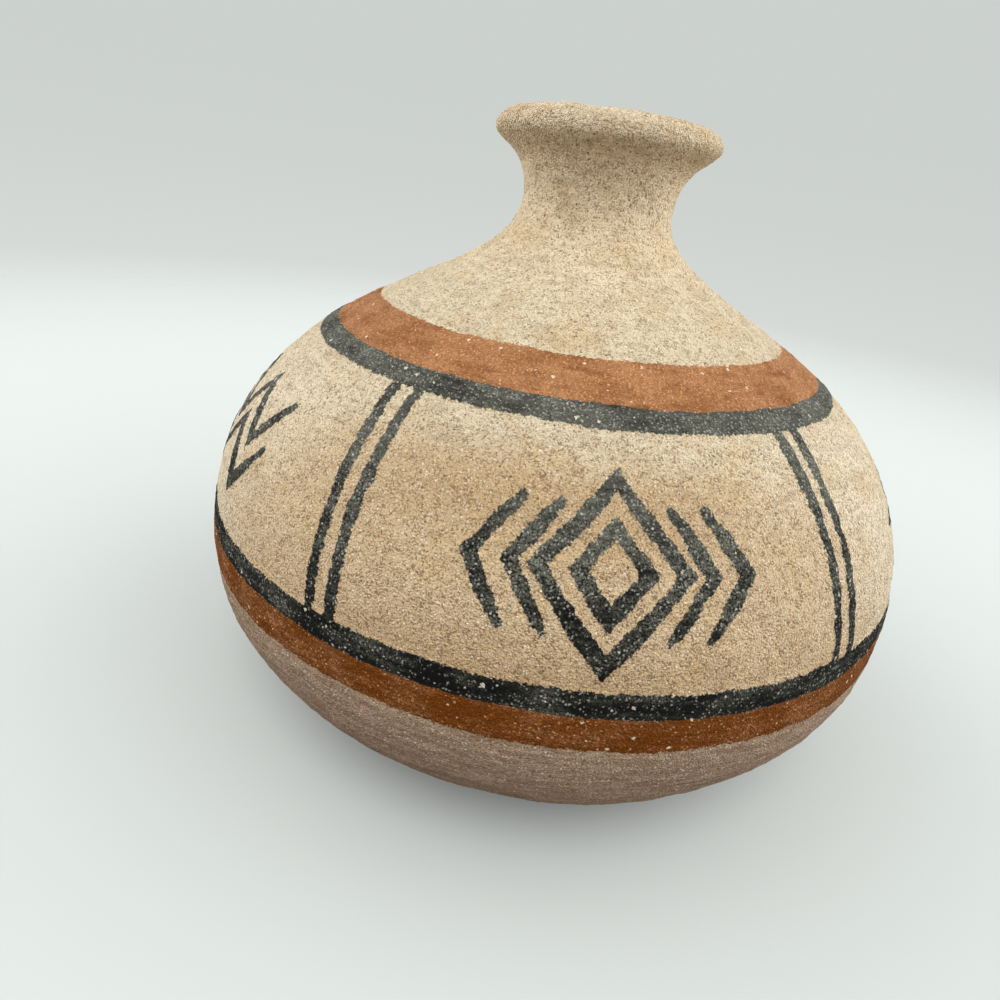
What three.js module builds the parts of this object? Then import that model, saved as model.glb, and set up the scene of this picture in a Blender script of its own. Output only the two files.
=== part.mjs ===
// A squat clay pot, hand built from five clay pieces, with painted slip bands and brush strokes.
// The pot stands on the plane z = 0 with its axis on z, and its front faces -y.
// Lengths are in millimetres and angles in degrees.

import * as THREE from "three";

// Outline of the outside, from the foot to the mouth.
const footRadius = 22;
const footSpread = 14.5;
const footRise = 1.2;
const bellyRadius = 50;
const bellyHeight = 25.1;
const bellyFullnessBelow = 12.7;
const bellyFullnessAbove = 13.4;
const shoulderRadius = 38.5;
const shoulderRise = 25.6;
const shoulderSlope = 42.3;
const shoulderReachBelow = 7.8;
const shoulderReachAbove = 14.2;
const neckRadius = 10;
const neckRise = 21.4;
const neckReachBelow = 8.2;
const neckReachAbove = 5.9;
const lipRadius = 14.5;
const lipRise = 7.8;
const lipReachBelow = 1.8;
const lipReachAbove = 1.9;
const crownRadius = 9.5;
const crownRise = 2.3;
const crownReach = 2.2;

// The clay wall and the joints between the clay pieces.
const wallThickness = 3.8;
const floorThickness = 5;
const mouthDepth = 4.5;
const neckSeamDrop = 10.1;
const lipSeamRise = 2.9;
const seamLap = 1.5;
const seamClearance = 0.3;

// Painted slip.
const slipGap = 0.3;
const slipThickness = 0.4;
const upperBandRise = 7.2;
const upperTerracottaWidth = 6.1;
const upperCharcoalWidth = 2.8;
const lowerBandRise = 7;
const lowerCharcoalWidth = 2.7;
const lowerTerracottaWidth = 3.8;
const bandSpacing = 0.3;

// Panels and their upright double lines.
const panelCount = 5;
const firstDividerAzimuth = -27;
const dividerWander = [0.9, -2.2, 1.4, -0.9, 0.8];
const dividerLean = [1.1, 0.8, -1.0, 0.8, -0.6];
const dividerLineSpacing = 2.9;
const dividerLineWidth = 1.4;

// Brushed motifs, each in the middle of its panel or a little lower.
const strokeWidth = 1.6;
const strokeTipWidth = 0.9;
const motifDrop = 1.5;
const motifMargin = 2.1;
const lozengeWidth = 14;
const lozengeSpacing = 3.9;
const chevronReach = 4.2;
const chevronSpacing = 3.8;
const chevronGap = 1;
const chevronInset = 2.5;
const stairCount = 4;
const stairTread = 5.4;
const stairGap = 1.2;
const stairInset = 1.4;
const ringRadius = 3.8;
const rayCount = 8;
const rayGap = 1.5;
const waveCount = 3;
const waveCycles = 2.5;
const waveLength = 10;
const waveHeight = 1.7;
const waveInset = 1.9;
const zigzagCount = 5;
const zigzagStride = 5.4;
const zigzagSpacing = 6;
const zigzagInset = 2.4;

// Fineness of the faceted model.
const turns = 48;
const outerFacetLength = 5;
const innerFacetLength = 7;
const bandFacetLength = 2.2;
const strokeFacetLength = 4;
const curveSteps = 10;
const waveSteps = 8;

const clay = { color: 0xd8c6a6, roughness: 0.96, metalness: 0 };
const terracotta = { color: 0xb9794f, roughness: 0.93, metalness: 0 };
const charcoal = { color: 0x4c4c46, roughness: 0.93, metalness: 0 };

const pot = new THREE.Group();

function addPiece(name, geometry, finish) {
  const mesh = new THREE.Mesh(geometry, new THREE.MeshStandardMaterial(finish));
  mesh.name = name;
  pot.add(mesh);
}

// Section of the outside: x is the radius and y is the height.
function point(radius, height) {
  return new THREE.Vector2(radius, height);
}

const shoulderHeight = bellyHeight + shoulderRise;
const neckHeight = shoulderHeight + neckRise;
const lipEdgeHeight = neckHeight + lipRise;
const crownHeight = lipEdgeHeight + crownRise;
const neckSeamHeight = neckHeight - neckSeamDrop;
const lipSeamHeight = neckHeight + lipSeamRise;

const foot = point(footRadius, 0);
const belly = point(bellyRadius, bellyHeight);
const bend = point(shoulderRadius, shoulderHeight);
const slope = THREE.MathUtils.degToRad(shoulderSlope);
const upSlope = point(-Math.cos(slope), Math.sin(slope));
const waist = point(neckRadius, neckHeight);
const lipEdge = point(lipRadius, lipEdgeHeight);
const crown = point(crownRadius, crownHeight);

const outside = new THREE.CurvePath();
outside.add(
  new THREE.CubicBezierCurve(
    foot,
    point(foot.x + footSpread, foot.y + footRise),
    point(belly.x, belly.y - bellyFullnessBelow),
    belly,
  ),
);
outside.add(
  new THREE.CubicBezierCurve(
    belly,
    point(belly.x, belly.y + bellyFullnessAbove),
    bend.clone().addScaledVector(upSlope, -shoulderReachBelow),
    bend,
  ),
);
outside.add(
  new THREE.CubicBezierCurve(
    bend,
    bend.clone().addScaledVector(upSlope, shoulderReachAbove),
    point(waist.x, waist.y - neckReachBelow),
    waist,
  ),
);
outside.add(
  new THREE.CubicBezierCurve(
    waist,
    point(waist.x, waist.y + neckReachAbove),
    point(lipEdge.x, lipEdge.y - lipReachBelow),
    lipEdge,
  ),
);
const outsideLength = outside.getLength();

// A place on the section is given by its arc: the length along the outside from the foot.
function outsideAt(arc) {
  return outside.getPoint(arc / outsideLength);
}

function normalAt(arc) {
  const reach = 0.01;
  const ahead = outsideAt(Math.min(arc + reach, outsideLength));
  const behind = outsideAt(Math.max(arc - reach, 0));
  const along = ahead.sub(behind).normalize();
  return point(along.y, -along.x);
}

function offsetAt(arc, distance) {
  return outsideAt(arc).addScaledVector(normalAt(arc), distance);
}

// The arc at which a section line that only rises reaches a height.
function arcWhere(line, height, lastArc) {
  const halvings = 40;
  let low = 0;
  let high = lastArc;
  for (let i = 0; i < halvings; i++) {
    const middle = (low + high) / 2;
    if (line(middle).y < height) low = middle;
    else high = middle;
  }
  return (low + high) / 2;
}

const insideAt = (arc) => offsetAt(arc, -wallThickness);
const outsideArc = (height) => arcWhere(outsideAt, height, outsideLength);
const waistArc = outsideArc(neckHeight);
const insideArc = (height) => arcWhere(insideAt, height, waistArc);
const boreRadius = neckRadius - wallThickness;

function outerRadius(height) {
  return outsideAt(outsideArc(height)).x;
}

function innerRadius(height) {
  return height >= neckHeight ? boreRadius : insideAt(insideArc(height)).x;
}

// Points of a section line between two arcs, with both ends.
function pointsBetween(line, start, end, step) {
  const count = Math.max(1, Math.round(Math.abs(end - start) / step));
  return Array.from({ length: count + 1 }, (_, i) => line(start + ((end - start) * i) / count));
}

function outerWall(bottom, top) {
  return pointsBetween(outsideAt, outsideArc(bottom), outsideArc(top), outerFacetLength);
}

// The inside of the wall, from the top down. Above the waist it is the straight bore.
function innerWall(top, bottom) {
  const below = Math.min(top, neckHeight);
  const line = [];
  if (top > neckHeight) line.push(point(boreRadius, top));
  if (bottom < neckHeight) {
    line.push(...pointsBetween(insideAt, insideArc(below), insideArc(bottom), innerFacetLength));
  } else {
    line.push(point(boreRadius, bottom));
  }
  return line;
}

// At a seam the lower piece has a low inner tongue, and the upper piece a step that fits round it.
function tongueRadius(height) {
  const lapped = height + seamLap;
  const outer = Math.min(outerRadius(height), outerRadius(lapped));
  const inner = Math.max(innerRadius(height), innerRadius(lapped));
  return (outer + inner) / 2;
}

function seamTop(height) {
  const face = tongueRadius(height) - seamClearance / 2;
  return [point(face, height), point(face, height + seamLap)];
}

function seamBottom(height) {
  const face = tongueRadius(height) + seamClearance / 2;
  return [point(face, height + seamLap + seamClearance), point(face, height)];
}

function turned(profile) {
  return new THREE.LatheGeometry(profile, turns).rotateX(Math.PI / 2);
}

function closedTurned(profile) {
  return turned([...profile, profile[0].clone()]);
}

// A clay wall between two seams.
function wallBetween(bottom, top) {
  return closedTurned([
    ...outerWall(bottom, top),
    ...seamTop(top),
    ...innerWall(top + seamLap, bottom + seamLap + seamClearance),
    ...seamBottom(bottom),
  ]);
}

function baseSlab() {
  return turned([
    point(0, 0),
    ...outerWall(0, floorThickness),
    ...seamTop(floorThickness),
    ...innerWall(floorThickness + seamLap, floorThickness),
    point(0, floorThickness),
  ]);
}

function lipRing() {
  const roll = new THREE.CubicBezierCurve(
    lipEdge,
    point(lipEdge.x, lipEdge.y + lipReachAbove),
    point(crown.x + crownReach, crown.y),
    crown,
  );
  const mouthBottom = point(boreRadius, crownHeight - mouthDepth);
  const mouth = new THREE.CubicBezierCurve(
    crown,
    point((crown.x + boreRadius) / 2, crown.y),
    point(boreRadius, (crown.y + mouthBottom.y) / 2),
    mouthBottom,
  );
  const rollSteps = curveSteps / 2;
  return closedTurned([
    ...outerWall(lipSeamHeight, lipEdgeHeight),
    ...roll.getPoints(rollSteps).slice(1),
    ...mouth.getPoints(rollSteps).slice(1),
    point(boreRadius, lipSeamHeight + seamLap + seamClearance),
    ...seamBottom(lipSeamHeight),
  ]);
}

addPiece("base_slab", baseSlab(), clay);
addPiece("lower_bowl", wallBetween(floorThickness, bellyHeight), clay);
addPiece("shoulder", wallBetween(bellyHeight, neckSeamHeight), clay);
addPiece("neck", wallBetween(neckSeamHeight, lipSeamHeight), clay);
addPiece("lip_ring", lipRing(), clay);

// A slip band round the pot, between two arcs.
function slipBand(lowArc, highArc) {
  const face = (arc) => offsetAt(arc, slipGap + slipThickness);
  const back = (arc) => offsetAt(arc, slipGap);
  return closedTurned([
    ...pointsBetween(face, lowArc, highArc, bandFacetLength),
    ...pointsBetween(back, highArc, lowArc, bandFacetLength),
  ]);
}

const upperTop = outsideArc(shoulderHeight + upperBandRise);
const upperMiddle = upperTop - upperTerracottaWidth;
const upperLow = upperMiddle - bandSpacing - upperCharcoalWidth;
const lowerTop = outsideArc(bellyHeight + lowerBandRise);
const lowerMiddle = lowerTop - lowerCharcoalWidth;
const lowerLow = lowerMiddle - bandSpacing - lowerTerracottaWidth;

addPiece("upper_terracotta_band", slipBand(upperMiddle, upperTop), terracotta);
addPiece("upper_charcoal_band", slipBand(upperLow, upperMiddle - bandSpacing), charcoal);
addPiece("lower_charcoal_band", slipBand(lowerMiddle, lowerTop), charcoal);
addPiece("lower_terracotta_band", slipBand(lowerLow, lowerMiddle - bandSpacing), terracotta);

// A place on the painted belly: azimuth from the front towards +x, and arc from the foot.
function onSurface(azimuth, arc, lift) {
  const place = offsetAt(arc, lift);
  const angle = THREE.MathUtils.degToRad(azimuth);
  return new THREE.Vector3(place.x * Math.sin(angle), -place.x * Math.cos(angle), place.y);
}

// The outward direction of the surface there.
function outward(azimuth, arc) {
  return onSurface(azimuth, arc, 1).sub(onSurface(azimuth, arc, 0));
}

// A brush stroke: a thin strip of slip along places {azimuth, arc, width} on the surface.
// At a corner the strip is wider, down to a turn whose half angle has this cosine.
const sharpest = 0.6;

function brushStroke(places, closed) {
  const count = places.length;
  const at = (i) => places[closed ? (i + count) % count : THREE.MathUtils.clamp(i, 0, count - 1)];
  const middle = (place) => onSurface(place.azimuth, place.arc, 0);
  const positions = [];
  places.forEach((place, i) => {
    const up = outward(place.azimuth, place.arc);
    const before = middle(place).sub(middle(at(i - 1)));
    const after = middle(at(i + 1)).sub(middle(place));
    const along = before.clone().normalize().add(after.clone().normalize()).normalize();
    const straight = Math.max(before.length() ? before.normalize().dot(along) : 1, sharpest);
    const side = new THREE.Vector3().crossVectors(up, along).normalize();
    for (const [across, lift] of [
      [-1, slipGap],
      [1, slipGap],
      [1, slipGap + slipThickness],
      [-1, slipGap + slipThickness],
    ]) {
      const corner = onSurface(place.azimuth, place.arc, lift);
      corner.addScaledVector(side, (across * place.width) / 2 / straight);
      positions.push(...corner.toArray());
    }
  });
  const corners = 4;
  const index = [];
  const lengths = closed ? count : count - 1;
  for (let i = 0; i < lengths; i++) {
    const near = i * corners;
    const far = ((i + 1) % count) * corners;
    for (let k = 0; k < corners; k++) {
      const next = (k + 1) % corners;
      index.push(near + k, near + next, far + next, near + k, far + next, far + k);
    }
  }
  if (!closed) {
    const last = (count - 1) * corners;
    index.push(0, 2, 1, 0, 3, 2);
    index.push(last, last + 1, last + 2, last, last + 2, last + 3);
  }
  const geometry = new THREE.BufferGeometry();
  geometry.setAttribute("position", new THREE.Float32BufferAttribute(positions, 3));
  geometry.setIndex(index);
  return geometry;
}

const panelTop = upperLow - bandSpacing;
const panelBottom = lowerTop + bandSpacing;
const panelMiddle = (panelTop + panelBottom) / 2;
const panelAngle = 360 / panelCount;
const motifReach = (panelTop - panelBottom) / 2 - motifDrop - motifMargin;

// Degrees of azimuth taken up by a length round the pot at an arc.
function degreesFor(length, arc) {
  return THREE.MathUtils.radToDeg(length / outsideAt(arc).x);
}

// An upright line, set off to one side of its divider, leaning a little as a brushed line does.
function dividerLine(azimuth, lean, offset) {
  const steps = Math.round((panelTop - panelBottom) / strokeFacetLength);
  const places = Array.from({ length: steps + 1 }, (_, i) => {
    const arc = panelBottom + ((panelTop - panelBottom) * i) / steps;
    const tilt = lean * (1 - (2 * i) / steps);
    return { azimuth: azimuth + tilt + degreesFor(offset, arc), arc, width: dividerLineWidth };
  });
  return brushStroke(places, false);
}

for (let i = 0; i < panelCount; i++) {
  const wander = dividerWander[i % dividerWander.length];
  const lean = dividerLean[i % dividerLean.length];
  const azimuth = firstDividerAzimuth + i * panelAngle + wander;
  const half = dividerLineSpacing / 2;
  addPiece(`divider_${i + 1}_left_line`, dividerLine(azimuth, lean, -half), charcoal);
  addPiece(`divider_${i + 1}_right_line`, dividerLine(azimuth, lean, half), charcoal);
}

// Motifs are drawn on the plane of their panel: x runs to the right and y up, from a point
// a little below the panel's middle.
function panelCentre(panel) {
  return firstDividerAzimuth + (panel + 0.5) * panelAngle;
}

function onPanel(panel, [x, y], width) {
  const arc = panelMiddle - motifDrop + y;
  return { azimuth: panelCentre(panel) + degreesFor(x, panelMiddle), arc, width };
}

// Extra places along straight stretches, so that a stroke follows the curved surface.
function filled(corners, closed) {
  const line = [];
  const lengths = closed ? corners.length : corners.length - 1;
  for (let i = 0; i < lengths; i++) {
    const [x0, y0] = corners[i];
    const [x1, y1] = corners[(i + 1) % corners.length];
    const steps = Math.max(1, Math.round(Math.hypot(x1 - x0, y1 - y0) / strokeFacetLength));
    for (let k = 0; k < steps; k++) {
      line.push([x0 + ((x1 - x0) * k) / steps, y0 + ((y1 - y0) * k) / steps]);
    }
  }
  if (!closed) line.push(corners[corners.length - 1]);
  return line;
}

// An open stroke thins towards its two ends.
function openStroke(panel, corners) {
  const line = filled(corners, false);
  const last = line.length - 1;
  const places = line.map((spot, i) => {
    const tip = i === 0 || i === last;
    return onPanel(panel, spot, tip ? strokeTipWidth : strokeWidth);
  });
  return brushStroke(places, false);
}

function closedStroke(panel, corners) {
  const places = filled(corners, true).map((spot) => onPanel(panel, spot, strokeWidth));
  return brushStroke(places, true);
}

function addStroke(name, panel, corners) {
  addPiece(name, openStroke(panel, corners), charcoal);
}

// Front panel: a lozenge in a lozenge, with two chevrons pointing away on each side.
const frontPanel = 0;

function lozenge(inset) {
  const height = motifReach - inset;
  const width = ((lozengeWidth / 2) * height) / motifReach;
  return [
    [0, -height],
    [width, 0],
    [0, height],
    [-width, 0],
  ];
}

function addFrontMotif() {
  const inner = lozengeSpacing + strokeWidth / 2;
  addPiece("front_outer_lozenge", closedStroke(frontPanel, lozenge(0)), charcoal);
  addPiece("front_inner_lozenge", closedStroke(frontPanel, lozenge(inner)), charcoal);
  const apex = lozengeWidth / 2 + strokeWidth + chevronGap;
  const height = motifReach - chevronInset;
  for (const [side, sign] of [
    ["left", -1],
    ["right", 1],
  ]) {
    for (const [order, label] of ["near", "far"].entries()) {
      const tip = apex + order * chevronSpacing;
      addStroke(`front_${side}_${label}_chevron`, frontPanel, [
        [sign * (tip - chevronReach), height],
        [sign * tip, 0],
        [sign * (tip - chevronReach), -height],
      ]);
    }
  }
}

// Right panel: two flights of steps, one above the other.
const rightPanel = 1;
const stairReach = motifReach - stairInset;
const stairRise = (2 * stairReach - strokeWidth - stairGap) / stairCount;
const stairSpacing = stairRise + strokeWidth + stairGap;

function stairs(drop) {
  const line = [[(-stairCount * stairTread) / 2, stairSpacing - stairReach - drop]];
  for (let i = 0; i < stairCount; i++) {
    const [x, y] = line[line.length - 1];
    line.push([x + stairTread, y]);
    if (i < stairCount - 1) line.push([x + stairTread, y + stairRise]);
  }
  return line;
}

function addRightMotif() {
  addStroke("right_upper_stairs", rightPanel, stairs(0));
  addStroke("right_lower_stairs", rightPanel, stairs(stairSpacing));
}

// Right rear panel: a ring with rays.
const rightRearPanel = 2;

function around(radius, turn) {
  const angle = 2 * Math.PI * turn;
  return [radius * Math.sin(angle), radius * Math.cos(angle)];
}

function addRightRearMotif() {
  const ring = Array.from({ length: curveSteps }, (_, i) => around(ringRadius, -i / curveSteps));
  addPiece("right_rear_ring", closedStroke(rightRearPanel, ring), charcoal);
  for (let i = 0; i < rayCount; i++) {
    const turn = i / rayCount;
    const ray = [around(ringRadius + rayGap, turn), around(motifReach, turn)];
    addStroke(`right_rear_ray_${i + 1}`, rightRearPanel, ray);
  }
}

// Left rear panel: three waves, one above the other.
const leftRearPanel = 3;
const waveSpacing = (2 * (motifReach - waveHeight - waveInset)) / (waveCount - 1);

function wave(lift) {
  const steps = waveCycles * waveSteps;
  return Array.from({ length: steps + 1 }, (_, i) => {
    const turn = (i / steps - 0.5) * waveCycles;
    return [turn * waveLength, lift + waveHeight * Math.cos(2 * Math.PI * turn)];
  });
}

function addLeftRearMotif() {
  for (let i = 0; i < waveCount; i++) {
    const lift = (i - (waveCount - 1) / 2) * waveSpacing;
    addStroke(`left_rear_wave_${i + 1}`, leftRearPanel, wave(lift));
  }
}

// Left panel: two zigzags, one above the other.
const leftPanel = 4;

function zigzag(lift) {
  const height = motifReach - zigzagInset - zigzagSpacing / 2;
  return Array.from({ length: zigzagCount + 1 }, (_, i) => {
    const x = (i - zigzagCount / 2) * zigzagStride;
    return [x, lift + (i % 2 ? height : -height)];
  });
}

function addLeftMotif() {
  addStroke("left_upper_zigzag", leftPanel, zigzag(zigzagSpacing / 2));
  addStroke("left_lower_zigzag", leftPanel, zigzag(-zigzagSpacing / 2));
}

addFrontMotif();
addRightMotif();
addRightRearMotif();
addLeftRearMotif();
addLeftMotif();

export default pot;
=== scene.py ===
"""A small hand-built clay pot, painted with bands and strokes of slip, on a pale table.

The outside of the pot is one turned surface. Its lattice has rows along the section of the wall
and columns round the axis, and every clay and slip piece is a part of that one lattice.
"""

import math

import bpy
from mathutils import Euler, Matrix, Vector
from mathutils.geometry import interpolate_bezier


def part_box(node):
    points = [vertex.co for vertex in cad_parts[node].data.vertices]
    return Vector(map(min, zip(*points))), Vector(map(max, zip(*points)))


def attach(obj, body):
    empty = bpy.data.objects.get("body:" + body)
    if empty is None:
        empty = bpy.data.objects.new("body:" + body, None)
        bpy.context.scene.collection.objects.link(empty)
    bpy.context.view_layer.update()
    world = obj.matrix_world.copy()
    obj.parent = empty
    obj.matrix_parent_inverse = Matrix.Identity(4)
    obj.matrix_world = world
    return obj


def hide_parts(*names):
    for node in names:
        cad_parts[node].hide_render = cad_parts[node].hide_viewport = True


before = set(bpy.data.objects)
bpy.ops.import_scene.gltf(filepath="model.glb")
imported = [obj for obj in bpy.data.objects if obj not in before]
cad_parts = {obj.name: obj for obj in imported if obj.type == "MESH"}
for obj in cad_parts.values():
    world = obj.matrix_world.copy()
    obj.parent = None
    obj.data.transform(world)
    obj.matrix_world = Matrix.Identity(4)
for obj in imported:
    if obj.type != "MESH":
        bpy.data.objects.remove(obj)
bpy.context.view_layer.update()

MM = 0.001

# Section of the outside in millimetres: the foot, the belly, the bend of the shoulder, the waist
# of the neck, the edge and crown of the lip and the bottom of the mouth.
FOOT_RADIUS, FOOT_SPREAD, FOOT_RISE = 22, 14.5, 1.2
BELLY_RADIUS, BELLY_HEIGHT = 50, 25.1
FULLNESS_BELOW, FULLNESS_ABOVE = 12.7, 13.4
SHOULDER_RADIUS, SHOULDER_HEIGHT, SHOULDER_SLOPE = 38.5, 50.7, math.radians(42.3)
SHOULDER_REACH_BELOW, SHOULDER_REACH_ABOVE = 7.8, 14.2
NECK_RADIUS, NECK_HEIGHT = 10, 72.1
NECK_REACH_BELOW, NECK_REACH_ABOVE = 8.2, 5.9
LIP_RADIUS, LIP_HEIGHT = 14.5, 79.9
LIP_REACH_BELOW, LIP_REACH_ABOVE = 1.8, 1.9
CROWN_RADIUS, CROWN_HEIGHT, CROWN_REACH = 9.5, 82.2, 2.2
MOUTH_RADIUS, MOUTH_HEIGHT = 6.2, 77.7
WALL, FLOOR = 3.8, 5.0
KNOT_STEPS = 200
FOOT_KNOT, LIP_KNOT = 1, 5

# Lattice of the outside.
COLUMNS = 840
ROW = 0.345 * MM
COLUMN_TURN = 2 * math.pi / COLUMNS
WELD = 1e-6

# Lumps, ripples and sand: how large, how high.
LUMPS = (
    (17 * MM, 0.42 * MM),
    (6 * MM, 0.26 * MM),
    (2.6 * MM, 0.27 * MM),
    (0.85 * MM, 0.25 * MM),
)

# The clay pieces of the part, from the foot up.
WALL_NODES = ("base_slab", "lower_bowl", "shoulder", "neck", "lip_ring")
# The shoulder's two pieces meet under the slip, and a little further up on the inside.
CUT_BELOW_SLIP, INNER_CUT_RISE = 0.15 * MM, 2 * MM

# Slip: the CAD strips lie from 0.3 to 0.7 mm off the clay, and the brushed slip is much thinner.
STRIP_LOW, STRIP_HIGH = 0.3 * MM, 0.7 * MM
CHARCOAL_BAND_LIFT = 0.10 * MM
CHARCOAL_LINE_LIFT = 0.085 * MM
TERRACOTTA_LIFT = 0.07 * MM
SLIP_DEPTH = 0.3 * MM
# How far the terracotta runs under the charcoal and the charcoal over it, and how far from its
# ends a divider line takes the form in which it runs on into the bands.
UNDERLAP, OVERLAP, LINE_INSET = 1.0 * MM, 0.15 * MM, 0.5 * MM
# The brush strays from its line by up to this much, in waves of two lengths.
BAND_WAVER, STROKE_WAVER = 0.4 * MM, 0.65 * MM
LONG_WAVE, SHORT_WAVE = 7 * MM, 1.4 * MM
# The slip thins out within a slope on both sides of its edge. A fringe that shows clay lies
# beyond, and dives into the wall. Each piece is cut from a patch with a wider margin.
EDGE_SLOPE, EDGE_LIFT = 0.25 * MM, 0.012 * MM
DIVE_START, DIVE_END, DIVE_DEPTH = 0.28 * MM, 0.7 * MM, 0.16 * MM
FRINGE, PATCH_MARGIN = 0.8 * MM, 1.6 * MM


def at(radius, height):
    """A point of the section, in metres."""
    return Vector((radius, 0, height)) * MM


def section_knots():
    """The knots of the section, each with the handle before it and the handle after it."""
    up_slope = at(-math.cos(SHOULDER_SLOPE), math.sin(SHOULDER_SLOPE))
    bend = at(SHOULDER_RADIUS, SHOULDER_HEIGHT)
    halfway = (MOUTH_RADIUS + CROWN_RADIUS) / 2
    return [
        (at(0, 0), at(0, 0), at(FOOT_RADIUS / 3, 0)),
        (
            at(FOOT_RADIUS, 0),
            at(FOOT_RADIUS * 2 / 3, 0),
            at(FOOT_RADIUS + FOOT_SPREAD, FOOT_RISE),
        ),
        (
            at(BELLY_RADIUS, BELLY_HEIGHT),
            at(BELLY_RADIUS, BELLY_HEIGHT - FULLNESS_BELOW),
            at(BELLY_RADIUS, BELLY_HEIGHT + FULLNESS_ABOVE),
        ),
        (bend, bend - up_slope * SHOULDER_REACH_BELOW, bend + up_slope * SHOULDER_REACH_ABOVE),
        (
            at(NECK_RADIUS, NECK_HEIGHT),
            at(NECK_RADIUS, NECK_HEIGHT - NECK_REACH_BELOW),
            at(NECK_RADIUS, NECK_HEIGHT + NECK_REACH_ABOVE),
        ),
        (
            at(LIP_RADIUS, LIP_HEIGHT),
            at(LIP_RADIUS, LIP_HEIGHT - LIP_REACH_BELOW),
            at(LIP_RADIUS, LIP_HEIGHT + LIP_REACH_ABOVE),
        ),
        (
            at(CROWN_RADIUS, CROWN_HEIGHT),
            at(CROWN_RADIUS + CROWN_REACH, CROWN_HEIGHT),
            at(halfway, CROWN_HEIGHT),
        ),
        (
            at(MOUTH_RADIUS, MOUTH_HEIGHT),
            at(MOUTH_RADIUS, (CROWN_HEIGHT + MOUTH_HEIGHT) / 2),
            at(MOUTH_RADIUS, MOUTH_HEIGHT),
        ),
    ]


def section_curve(knots):
    """The section as a curve object, which the node trees read."""
    data = bpy.data.curves.new("section", "CURVE")
    data.dimensions = "3D"
    data.resolution_u = KNOT_STEPS
    spline = data.splines.new("BEZIER")
    spline.bezier_points.add(len(knots) - 1)
    for place, (knot, before, after) in zip(spline.bezier_points, knots, strict=True):
        place.handle_left_type = place.handle_right_type = "FREE"
        place.co, place.handle_left, place.handle_right = knot, before, after
    section = bpy.data.objects.new("section", data)
    bpy.context.scene.collection.objects.link(section)
    return section


class Section:
    """Arcs, which are lengths along the section from the middle of the underside."""

    def __init__(self, knots):
        self.points = [knots[0][0]]
        self.arcs = [0.0]
        self.knot_arcs = [0.0]
        for (knot, _, after), (end, before, _) in zip(knots, knots[1:]):
            for point in interpolate_bezier(knot, after, before, end, KNOT_STEPS + 1)[1:]:
                self.arcs.append(self.arcs[-1] + (point - self.points[-1]).length)
                self.points.append(point)
            self.knot_arcs.append(self.arcs[-1])

    def height(self, i, lift):
        """The height of point i, moved off the surface by lift."""
        along = (self.points[i + 1] - self.points[i - 1]).normalized()
        return self.points[i].z - along.x * lift

    def arc_at(self, height, lift=0.0):
        """The arc on the outside, between foot and lip, at which a height is reached."""
        foot, lip = FOOT_KNOT * KNOT_STEPS, LIP_KNOT * KNOT_STEPS
        for i in range(foot + 1, lip):
            above = self.height(i, lift)
            if above >= height:
                below = self.height(i - 1, lift)
                share = (height - below) / max(above - below, 1e-9)
                return self.arcs[i - 1] + (self.arcs[i] - self.arcs[i - 1]) * share
        return self.arcs[lip]


# Node trees


class Nodes:
    """Adds nodes to a tree. An input is a value, or an output of another node."""

    def __init__(self, tree):
        self.tree = tree

    def connect(self, socket, value):
        if isinstance(value, bpy.types.Node):
            value = value.outputs[0]
        if isinstance(value, bpy.types.NodeSocket):
            self.tree.links.new(value, socket)
        else:
            socket.default_value = value

    def add(self, kind, inputs=(), **settings):
        node = self.tree.nodes.new(kind)
        for name, value in settings.items():
            setattr(node, name, value)
        for key, value in dict(inputs).items():
            self.connect(find(node.inputs, key), value)
        return node

    def math(self, operation, *values):
        return self.add("ShaderNodeMath", enumerate(values), operation=operation).outputs[0]

    def vector(self, operation, *values):
        return self.add("ShaderNodeVectorMath", enumerate(values), operation=operation).outputs[0]

    def scaled(self, vector, scale):
        inputs = {"Vector": vector, "Scale": scale}
        return self.add("ShaderNodeVectorMath", inputs, operation="SCALE").outputs[0]

    def parts(self, vector):
        """The X, Y and Z of a vector."""
        return self.add("ShaderNodeSeparateXYZ", {"Vector": vector}).outputs

    def ramped(self, value, start, end, low=0.0, high=1.0, kind="SMOOTHSTEP"):
        """low where value is start, high where it is end, and smooth in between."""
        inputs = {"Value": value, "From Min": start, "From Max": end, "To Min": low, "To Max": high}
        return self.add("ShaderNodeMapRange", inputs, interpolation_type=kind).outputs[0]

    def noise(self, place, size, detail=2.0, roughness=0.5):
        """Noise from 0 to 1 with lumps of about a size in metres."""
        inputs = {"Vector": place, "Scale": 1 / size, "Detail": detail, "Roughness": roughness}
        return self.add("ShaderNodeTexNoise", inputs).outputs[0]

    def grains(self, place, size):
        """Grains of about a size in metres: the outputs Distance and Color."""
        return self.add("ShaderNodeTexVoronoi", {"Vector": place, "Scale": 1 / size}).outputs

    def group(self, tree, **inputs):
        """The outputs of another tree that is used in this one."""
        kind = "GeometryNodeGroup" if tree.type == "GEOMETRY" else "ShaderNodeGroup"
        node = self.tree.nodes.new(kind)
        node.node_tree = tree
        for key, value in inputs.items():
            self.connect(node.inputs[key.replace("_", " ")], value)
        return node.outputs


def find(sockets, key):
    """The socket in use that has a name or a place in the list."""
    if isinstance(key, int):
        return sockets[key]
    return next(s for s in sockets if s.name == key and s.enabled)


def new_tree(name, kind, inputs, outputs):
    """An empty node tree with named inputs and outputs: (Nodes, the inputs, the outputs)."""
    tree = bpy.data.node_groups.new(name, kind)
    for direction, sockets in (("INPUT", inputs), ("OUTPUT", outputs)):
        for label, socket in sockets.items():
            tree.interface.new_socket(label, in_out=direction, socket_type=f"NodeSocket{socket}")
    nodes = Nodes(tree)
    given = nodes.add("NodeGroupInput").outputs
    result = nodes.add("NodeGroupOutput").inputs
    return nodes, given, result


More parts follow.
